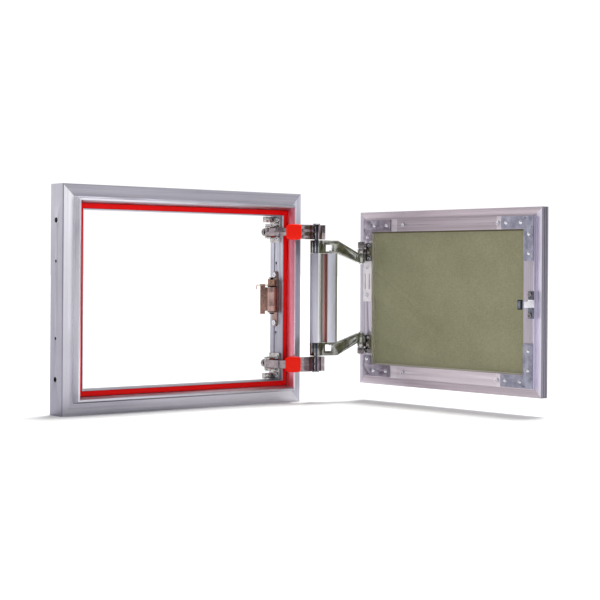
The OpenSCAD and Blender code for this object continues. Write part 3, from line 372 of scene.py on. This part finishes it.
# Seals
# Four lengths of soft red rubber, extruded, cut at 45 degrees and pressed into the frame by their barbs.
seal_rubber, shader, place = new_finish("seal_rubber", Specular_IOR_Level=0.12)
wave = noise(place, (60.0, 60.0, 60.0), detail=3.0)
blend_colours(wave, screen(214, 0, 3), screen(240, 3, 8)).into(shader, "Base Color")
stretch(wave, 0.3, 0.7, 0.5, 0.62).into(shader, "Roughness")
bump(noise(place, (900.0, 900.0, 900.0)), strength=0.25, depth=0.0001).into(shader, "Normal")
cut_edge = 0.0002
finish_solids(seal_rubber, cut_edge, "seal_top", "seal_bottom", "seal_left", "seal_right")


# Frame brackets
# Zinc die castings under thin bright plating, screwed to the jamb. Each has a knurled adjusting wheel and
# a steel pin, on which the arm turns.


def plated_zinc(name, dark, light, grain=900.0, gloss=0.3, lumps=120.0, skin_depth=0.00003, marks=()):
    """Cast zinc or pressed steel under thin plating: cloudy, with a fine orange-peel skin."""
    material, shader, place = new_finish(name, Metallic=1.0)
    clouds = noise(place, (lumps, lumps, lumps), detail=4.0, sharpness=0.6)
    skin = noise(place, (grain, grain, grain), detail=3.0, sharpness=0.6)
    tone = stretch(clouds * 0.7 + skin * 0.3, 0.35, 0.65)
    marked(blend_colours(tone, dark, light), place, marks).into(shader, "Base Color")
    stretch(clouds + skin, 0.7, 1.3, gloss, gloss + 0.12).into(shader, "Roughness")
    bump(skin, strength=0.4, depth=skin_depth).into(shader, "Normal")
    return material


hinge_zinc = plated_zinc("hinge_zinc", screen(148, 144, 142), screen(192, 188, 187), grain=500.0, gloss=0.08)
bright_steel = plated_zinc(
    "bright_steel", screen(196, 196, 202), screen(232, 232, 238), gloss=0.12, lumps=240.0)
knurled_steel = plated_zinc(
    "knurled_steel", screen(110, 104, 106), screen(160, 154, 156), gloss=0.2, lumps=240.0)
cast_edge = 0.0004
turned_edge = 0.0002
knurl_edge = 0.00015
screw_edge = 0.0003
finish_solids(hinge_zinc, cast_edge, "upper_frame_bracket", "lower_frame_bracket")
finish_solids(bright_steel, turned_edge, "frame_hinge_pins")
finish_solids(bright_steel, screw_edge, "frame_bracket_screws", clamp=False)
finish_solids(knurled_steel, knurl_edge, "upper_frame_adjuster", "lower_frame_adjuster")


# Hinge side latch
# Pressed steel, bronzed brown and rough on the catch plate. The catch's rolled barrel turns on a black pin,
# with a coiled spring round the pin's upper end.
pin_low, pin_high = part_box("hinge_latch_pin")
pin_x = (pin_low.x + pin_high.x) / 2
catch_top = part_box("hinge_latch_catch")[1].z
plate_root = 0.0030
housing_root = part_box("hinge_latch_housing")[1].x


def on_barrel(place):
    """The catch's barrel, which is smoother and paler than its plate."""
    return stretch(axis_of(place, 1), plate_root, plate_root + 0.0004, 1.0, 0.0)


def barrel_red_reflection(place):
    """The side of the barrel that is turned to the seal, with a painted reflection of its red."""
    return stretch(axis_of(place, 0), pin_x - 0.0016, pin_x + 0.0019) * on_barrel(place)


def housing_knuckle(place):
    """The black painted knuckle that carries the catch's barrel from above."""
    over = between(axis_of(place, 2), catch_top - 0.0055, catch_top - 0.0003, soft=0.0002)
    return over * stretch(axis_of(place, 0), housing_root - 0.0026, housing_root - 0.0022, 1.0, 0.0)


catch_bronze = plated_zinc(
    "catch_bronze", screen(98, 76, 66), screen(172, 136, 126), gloss=0.34, lumps=620.0, skin_depth=0.0001,
    marks=[(on_barrel, screen(176, 146, 140)), (barrel_red_reflection, screen(222, 104, 92))])
housing_bronze = plated_zinc(
    "housing_bronze", screen(110, 90, 84), screen(178, 150, 142), lumps=420.0, skin_depth=0.0001,
    marks=[(housing_knuckle, screen(22, 16, 14))])
pin_black = plated_zinc(
    "pin_black", screen(22, 18, 18), screen(40, 34, 34), lumps=300.0, skin_depth=0.0001)
spring_steel = plated_zinc(
    "spring_steel", screen(150, 112, 96), screen(214, 176, 156), gloss=0.2, lumps=300.0)
folded_edge = 0.0003
finish_solids(housing_bronze, folded_edge, "hinge_latch_housing")
finish_solids(catch_bronze, folded_edge, "hinge_latch_catch")
finish_solids(pin_black, turned_edge, "hinge_latch_pin")
finish_solids(bright_steel, screw_edge, "hinge_latch_screws", clamp=False)
spring = stand_in("hinge_latch_spring")
bpy.ops.object.shade_smooth()
paint(spring, spring_steel)


# Lock side latch
# Bronzed pressings again, screwed to the other jamb: a housing and two jaws on pins of their own, with a
# spring for each jaw.
latch_bronze = plated_zinc(
    "latch_bronze", screen(92, 70, 62), screen(176, 140, 130), gloss=0.36, lumps=520.0, skin_depth=0.0001)
finish_solids(latch_bronze, turned_edge, "lock_latch_housing", "upper_jaw", "lower_jaw")
finish_solids(bright_steel, turned_edge, "lock_latch_pins")
finish_solids(bright_steel, screw_edge, "lock_latch_screws", clamp=False)
spring = stand_in("lock_latch_springs")
bpy.ops.object.shade_smooth()
paint(spring, spring_steel)


# Frame arms
# Goose necked castings that turn on the brackets, with painted shade in the flutes of their knuckles. An
# orange rubber sleeve on each elbow swells at its middle.
tie_turn = math.radians(14.9)
second_axis = 0.2115
near_flute = (-0.0074, -0.0055)
far_flute = (-0.0041, -0.0013)
arm_root = (-0.0160, -0.0117)
knuckle_back = -0.0350


def across_hinge(place):
    """How far a place lies past the second axis, in metres across the tie's width."""
    return axis_of(place, 0) * math.cos(tie_turn) - axis_of(place, 1) * math.sin(tie_turn) - second_axis


def flute_painted_shade(place):
    """Painted shade in the flutes of the knuckles."""
    across = across_hinge(place)
    return between(across, *near_flute) + between(across, *far_flute)


def knuckle_root(place):
    """The reddish brown shadow where an arm runs into its knuckle."""
    root = between(across_hinge(place), *arm_root)
    return root * stretch(axis_of(place, 1), knuckle_back - 0.0010, knuckle_back, 1.0, 0.0)


arm_zinc = plated_zinc(
    "arm_zinc", screen(116, 107, 110), screen(166, 154, 158), grain=500.0, gloss=0.08,
    marks=[(flute_painted_shade, screen(52, 50, 60)), (knuckle_root, screen(118, 80, 82))])
arm_edge = 0.0005
finish_solids(arm_zinc, arm_edge, "upper_frame_arm", "lower_frame_arm")

sleeve_rubber, shader, place = new_finish("sleeve_rubber", Specular_IOR_Level=0.16)
wave = noise(place, (120.0, 120.0, 120.0), detail=3.0)
blend_colours(wave, screen(248, 12, 1), screen(255, 34, 4)).into(shader, "Base Color")
stretch(wave, 0.3, 0.7, 0.3, 0.42).into(shader, "Roughness")
sleeve_run = Vector((0.72, -0.69, 0.0))
near_waist = 0.22
far_waist = 0.14
for name in ("upper_arm_sleeve", "lower_arm_sleeve"):
    sleeve = stand_in(name)
    even = sleeve.modifiers.new("even", "REMESH")
    even.mode = "VOXEL"
    even.voxel_size = 0.0005
    swell = sleeve.modifiers.new("swell", "SMOOTH")
    swell.factor = 0.5
    swell.iterations = 60
    apply_all(sleeve)
    runs = [vertex.co.dot(sleeve_run) for vertex in sleeve.data.vertices]
    heights = [vertex.co.z for vertex in sleeve.data.vertices]
    half = (max(runs) - min(runs)) / 2
    centre = (max(runs) + min(runs)) / 2
    level = (max(heights) + min(heights)) / 2
    for vertex, run in zip(sleeve.data.vertices, runs):
        end = (run - centre) / half
        waist = 1.0 - (near_waist if end < 0 else far_waist) * abs(end) ** 3
        vertex.co.z = level + (vertex.co.z - level) * waist
    bpy.ops.object.shade_smooth()
    paint(sleeve, sleeve_rubber)


# Door arms
# Cranked castings under a duller olive plating, and the extruded aluminium tie that is screwed between them
# and keeps them in step. Steel pins join them to the frame arms.
knuckle_edge = -0.0082
lobe_crest = (-0.0007, 0.0035)
ridge = (0.0057, 0.0121)
groove = (0.0133, 0.0162)
far_lobe = (0.0170, 0.0280)
tie_end = 0.0288
crest_blur = 0.0008


def door_knuckle_edge(place):
    """The reddish brown shadow along the knuckles' left edge."""
    return stretch(across_hinge(place), knuckle_edge - 0.0003, knuckle_edge, 1.0, 0.0)


door_arm_zinc = plated_zinc(
    "door_arm_zinc", screen(108, 109, 105), screen(182, 184, 176), grain=500.0, gloss=0.1,
    marks=[(flute_painted_shade, screen(66, 66, 80)), (door_knuckle_edge, screen(118, 80, 82))])
finish_solids(door_arm_zinc, arm_edge, "upper_door_arm", "lower_door_arm")


def tie_crest_highlight(place):
    """A painted highlight along the crest of the round lobe."""
    return between(across_hinge(place), *lobe_crest, soft=crest_blur)


def tie_lobe_painted_light(place):
    """The far lobe, with painted light that makes it brighter than the round one."""
    return between(across_hinge(place), *far_lobe, soft=crest_blur) * 0.8


def tie_ridge(place):
    """The dull olive ridge between the lobes, and the far edge."""
    across = across_hinge(place)
    return between(across, *ridge) + stretch(across, tie_end, tie_end + 0.0006)


def tie_groove(place):
    """The brown shadow in the groove between the lobes."""
    return between(across_hinge(place), *groove)


tie_aluminium = drawn_aluminium(
    "tie_aluminium", 2, screen(174, 173, 184), screen(214, 214, 226), gloss=0.44,
    marks=[(tie_crest_highlight, screen(250, 252, 255)), (tie_lobe_painted_light, screen(236, 238, 250)),
           (tie_ridge, screen(170, 174, 162)), (tie_groove, screen(206, 160, 156))])
finish_solids(tie_aluminium, hairline, "tie_profile")
finish_solids(bright_steel, screw_edge, "knuckle_pins")
finish_solids(bright_steel, screw_edge, "tie_screws", clamp=False)


# Door leaf
# Four mitred lengths of a shallower extrusion round a plasterboard with green paper faces. The board is
# screwed to the flats of the lengths, and tiles are bonded to its other side.
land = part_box("door_top_rail")[0].x
leaf_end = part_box("door_lock_stile")[0].y
hinge_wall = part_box("door_hinge_stile")[0].y
hinge_plate_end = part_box("upper_hinge_corner_plate")[0].y
lock_plate_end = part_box("upper_lock_corner_plate")[1].y
middle = (cad_low.z + cad_high.z) / 2
lock_side = -0.33
turn_over = 0.01


def on_land(place, strength):
    """A mask of a strength on the flats of the leaf's lengths."""
    return stretch(axis_of(place, 0), land + 0.0002, land + 0.0005, strength, 0.0)


def plate_end_highlights(place):
    """The paler strips on the rails, beside the corner plates' ends, which are painted highlights."""
    y = axis_of(place, 1)
    hinge_strip = between(y, hinge_plate_end - 0.0130, hinge_plate_end - 0.0020)
    lock_strip = between(y, lock_plate_end + 0.0006, lock_plate_end + 0.0088)
    return (hinge_strip + lock_strip) * on_land(place, 0.45)


def upper_land(place):
    """The flat of the top rail, which lies in the shade of its lip."""
    return on_land(place, 0.22) * stretch(axis_of(place, 2), middle - turn_over, middle + turn_over)


def lower_land(place):
    """The flat of the bottom rail, which faces the light."""
    return on_land(place, 0.34) * stretch(axis_of(place, 2), middle - turn_over, middle + turn_over, 1.0, 0.0)


def lock_land_painted_shade(place):
    """The flat of the lock stile, with painted shade that makes it a little darker than the rest."""
    side = stretch(axis_of(place, 1), lock_side - turn_over, lock_side + turn_over, 1.0, 0.0)
    return on_land(place, 0.2) * side


def lock_band_painted_light(place):
    """The stile's outer band and the foot of its lip, with painted light that makes them lighter than the
    rails.
    """
    band = between(axis_of(place, 1), leaf_end + 0.0011, leaf_end + 0.0118)
    return band * stretch(axis_of(place, 0), land + 0.0069, land + 0.0079, 1.0, 0.0)


def outer_edge_painted_shade(place):
    """The leaf's outer edge, with painted shade that makes it darker."""
    return stretch(axis_of(place, 1), leaf_end + 0.0008, leaf_end + 0.0010, 0.85, 0.0)


def hinge_wall_painted_light(place):
    """The hinge stile's wall beside the board, with painted light that makes it bright."""
    return between(axis_of(place, 1), hinge_wall - 0.0004, hinge_wall + 0.0004, soft=0.0001)


# The rails carry painted light that brightens them towards the bottom, by a negative shade.
door_across = drawn_aluminium(
    "door_aluminium_across", 1, screen(168, 157, 164), screen(208, 197, 205), shade=-0.35,
    marks=[(upper_land, screen(112, 102, 108)), (lower_land, screen(250, 242, 247)),
           (plate_end_highlights, screen(232, 228, 234))])
door_upright = drawn_aluminium(
    "door_aluminium_upright", 2, screen(176, 169, 178), screen(212, 205, 216),
    marks=[(lock_land_painted_shade, screen(112, 106, 116)), (lock_band_painted_light, screen(222, 217, 232)),
           (outer_edge_painted_shade, screen(118, 116, 128)), (hinge_wall_painted_light, screen(252, 250, 255))])
finish_solids(door_across, hairline, "door_top_rail", "door_bottom_rail")
finish_solids(door_upright, hairline, "door_hinge_stile", "door_lock_stile")

board_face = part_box("door_board")[0].x
board_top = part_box("door_top_rail")[0].z
board_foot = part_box("door_bottom_rail")[1].z
paper, shader, place = new_finish("green_paper", Roughness=0.85, Specular_IOR_Level=0.2)
level_fibres = noise(place, (900.0, 160.0, 900.0), detail=4.0, sharpness=0.7)
upright_fibres = noise(place, (900.0, 900.0, 160.0), detail=4.0, sharpness=0.7)
fibres = level_fibres * 0.5 + upright_fibres * 0.5
clouds = noise(place, (14.0, 14.0, 14.0), detail=4.0, sharpness=0.6)
flecks = stretch(clouds * 0.3 + fibres * 0.7, 0.4, 0.6)
inner_face = stretch(axis_of(place, 0), board_face + 0.0008, board_face + 0.0012, 1.0, 0.0)
# A painted shadow along the board's top edge under the rail's lip, and a painted highlight along its foot.
shadow_line = stretch(axis_of(place, 2), board_top - 0.0023, board_top - 0.0015, 0.0, 0.75) * inner_face
foot_painted_highlight = stretch(axis_of(place, 2), board_foot + 0.0015, board_foot + 0.0021, 0.7, 0.0) * inner_face
green = blend_colours(flecks, screen(138, 137, 108), screen(158, 157, 127))
green = blend_colours(shadow_line, green, screen(62, 56, 40))
blend_colours(foot_painted_highlight, green, screen(226, 222, 205)).into(shader, "Base Color")
bump(fibres, strength=0.5, depth=0.0002).into(shader, "Normal")
sawn_edge = 0.0004
finish_solids(paper, sawn_edge, "door_board")


# Corner plates
# Zinc plated pressings riveted over the mitres: greyer at the hinge side, bluer at the lock side. The small
# screws that hold the board are of the same bright steel as the rivets.
dark_plate = plated_zinc(
    "dark_plate", screen(126, 118, 130), screen(176, 168, 180), grain=700.0, lumps=90.0, skin_depth=0.0001)
blue_plate = plated_zinc(
    "blue_plate", screen(124, 125, 140), screen(172, 173, 190), grain=700.0, lumps=90.0, skin_depth=0.0001)
pressed_edge = 0.00025
finish_solids(dark_plate, pressed_edge, "upper_hinge_corner_plate", "lower_hinge_corner_plate")
finish_solids(blue_plate, pressed_edge, "upper_lock_corner_plate", "lower_lock_corner_plate")
finish_solids(bright_steel, turned_edge, "corner_rivets")
finish_solids(bright_steel, screw_edge, "board_screws", clamp=False)


# Door brackets
# The frame brackets' castings again on the hinge stile, with a knurled nut on each pin, and between them a
# slotted strike plate in white paint for the catch.
finish_solids(hinge_zinc, cast_edge, "upper_door_bracket", "lower_door_bracket")
finish_solids(knurled_steel, knurl_edge, "upper_door_adjuster", "lower_door_adjuster")
finish_solids(bright_steel, turned_edge, "door_hinge_pins")
finish_solids(bright_steel, screw_edge, "door_bracket_screws", "strike_plate_screws", clamp=False)
white_paint, shader, place = new_finish("white_paint", Roughness=0.4)
film = noise(place, (80.0, 80.0, 80.0))
blend_colours(film, screen(236, 230, 233), screen(248, 243, 246)).into(shader, "Base Color")
finish_solids(white_paint, pressed_edge, "strike_plate")


# Striker
# A dark plated plate, screwed to the lock stile, whose head goes between the jaws. White nylon is moulded
# round its neck and on the plate beside it.
block_low, block_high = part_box("striker_block")
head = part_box("striker_plate")[0].x
nylon, shader, place = new_finish("white_nylon", Roughness=0.35)
flow = noise(place, (60.0, 60.0, 60.0))
blend_colours(flow, screen(236, 235, 240), screen(246, 245, 250)).into(shader, "Base Color")


def under_block(place):
    """The nylon that was moulded over the plate beside the block."""
    beside = between(axis_of(place, 2), block_low.z + 0.0001, block_high.z + 0.0019)
    return beside * stretch(axis_of(place, 0), block_high.x - 0.0011, block_high.x - 0.0009)


def head_gap_painted_shade(place):
    """Painted shade in the slot beside the head."""
    return between(axis_of(place, 0), head + 0.0008, head + 0.0043)


striker_zinc = plated_zinc(
    "striker_zinc", screen(84, 88, 98), screen(130, 134, 144), grain=700.0, gloss=0.24, lumps=160.0,
    skin_depth=0.00005, marks=[(head_gap_painted_shade, screen(34, 34, 40)), (under_block, screen(250, 249, 252))])
moulded_edge = 0.0004
finish_solids(striker_zinc, folded_edge, "striker_plate")
finish_solids(nylon, moulded_edge, "striker_block")
finish_solids(knurled_steel, screw_edge, "striker_screws", clamp=False)


# Studio
# A plain white floor that runs on into a white background, and a pale room with soft boxes all round, whose
# gaps draw dark streaks on the polished castings. A lamp overhead casts the shadows, and two wide ones fill
# them from the front and from behind.
floor_size = 60.0
bpy.ops.object.select_all(action="DESELECT")
bpy.ops.mesh.primitive_plane_add(size=floor_size, location=(0.0, 0.0, cad_low.z))
floor = bpy.context.active_object
floor.name = "floor"
floor_paint, shader, place = new_finish(
    "floor_paint", Roughness=0.9, Specular_IOR_Level=0.1, Emission_Strength=0.04)
shader.inputs["Base Color"].default_value = (0.93, 0.93, 0.93, 1.0)
shader.inputs["Emission Color"].default_value = (1.0, 1.0, 1.0, 1.0)
floor.data.materials.append(floor_paint)

room_light = 0.54
side_swing = 0.12
side_turn = 1.75
box_contrast = 0.4
background_strength = 1.05
world = bpy.data.worlds.new("studio")
world.use_nodes = True
bpy.context.scene.world = world
tree = world.node_tree
room = tree.nodes["Background"]
around = Wire(tree.nodes.new("ShaderNodeTexCoord").outputs["Generated"])
turn = around.maths("ARCTAN2", axis_of(around, 1), axis_of(around, 0))
sides = turn.node("Math", {"operation": "COSINE"}, {0: turn * 2.0 + side_turn})
boxes = stretch(noise(around, (6.0, 6.0, 0.9), detail=1.0), 0.44, 0.56, -1.0, 1.0)
below_ceiling = stretch(axis_of(around, 2), 0.2, 0.9, 1.0, 0.0)
light = room_light + (sides * side_swing + boxes * box_contrast) * below_ceiling
blend_colours(light, (0.0, 0.0, 0.0, 1.0), (1.0, 1.0, 1.02, 1.0)).into(room, "Color")
room.inputs["Strength"].default_value = 1.0
seen = tree.nodes.new("ShaderNodeLightPath")
white = tree.nodes.new("ShaderNodeBackground")
white.inputs["Color"].default_value = (1.0, 1.0, 1.0, 1.0)
white.inputs["Strength"].default_value = background_strength
either = tree.nodes.new("ShaderNodeMixShader")
tree.links.new(seen.outputs["Is Camera Ray"], either.inputs[0])
tree.links.new(room.outputs[0], either.inputs[1])
tree.links.new(white.outputs[0], either.inputs[2])
tree.links.new(either.outputs[0], tree.nodes["World Output"].inputs["Surface"])


def lamp(name, energy, source, spread):
    """A soft light from the direction of a source, as many degrees across as the spread."""
    light = bpy.data.objects.new(name, bpy.data.lights.new(name, "SUN"))
    light.data.energy = energy
    light.data.angle = math.radians(spread)
    light.location = source
    light.rotation_mode = "QUATERNION"
    light.rotation_quaternion = Vector(source).to_track_quat("Z", "Y")
    bpy.context.scene.collection.objects.link(light)


lamp("overhead", energy=2.5, source=(0.2, 0.08, 1.0), spread=14.0)
lamp("front", energy=0.34, source=(1.0, -1.2, 0.3), spread=60.0)
lamp("behind", energy=0.2, source=(-1.0, 1.0, 0.5), spread=60.0)

bpy.context.scene.view_settings.view_transform = "Standard"
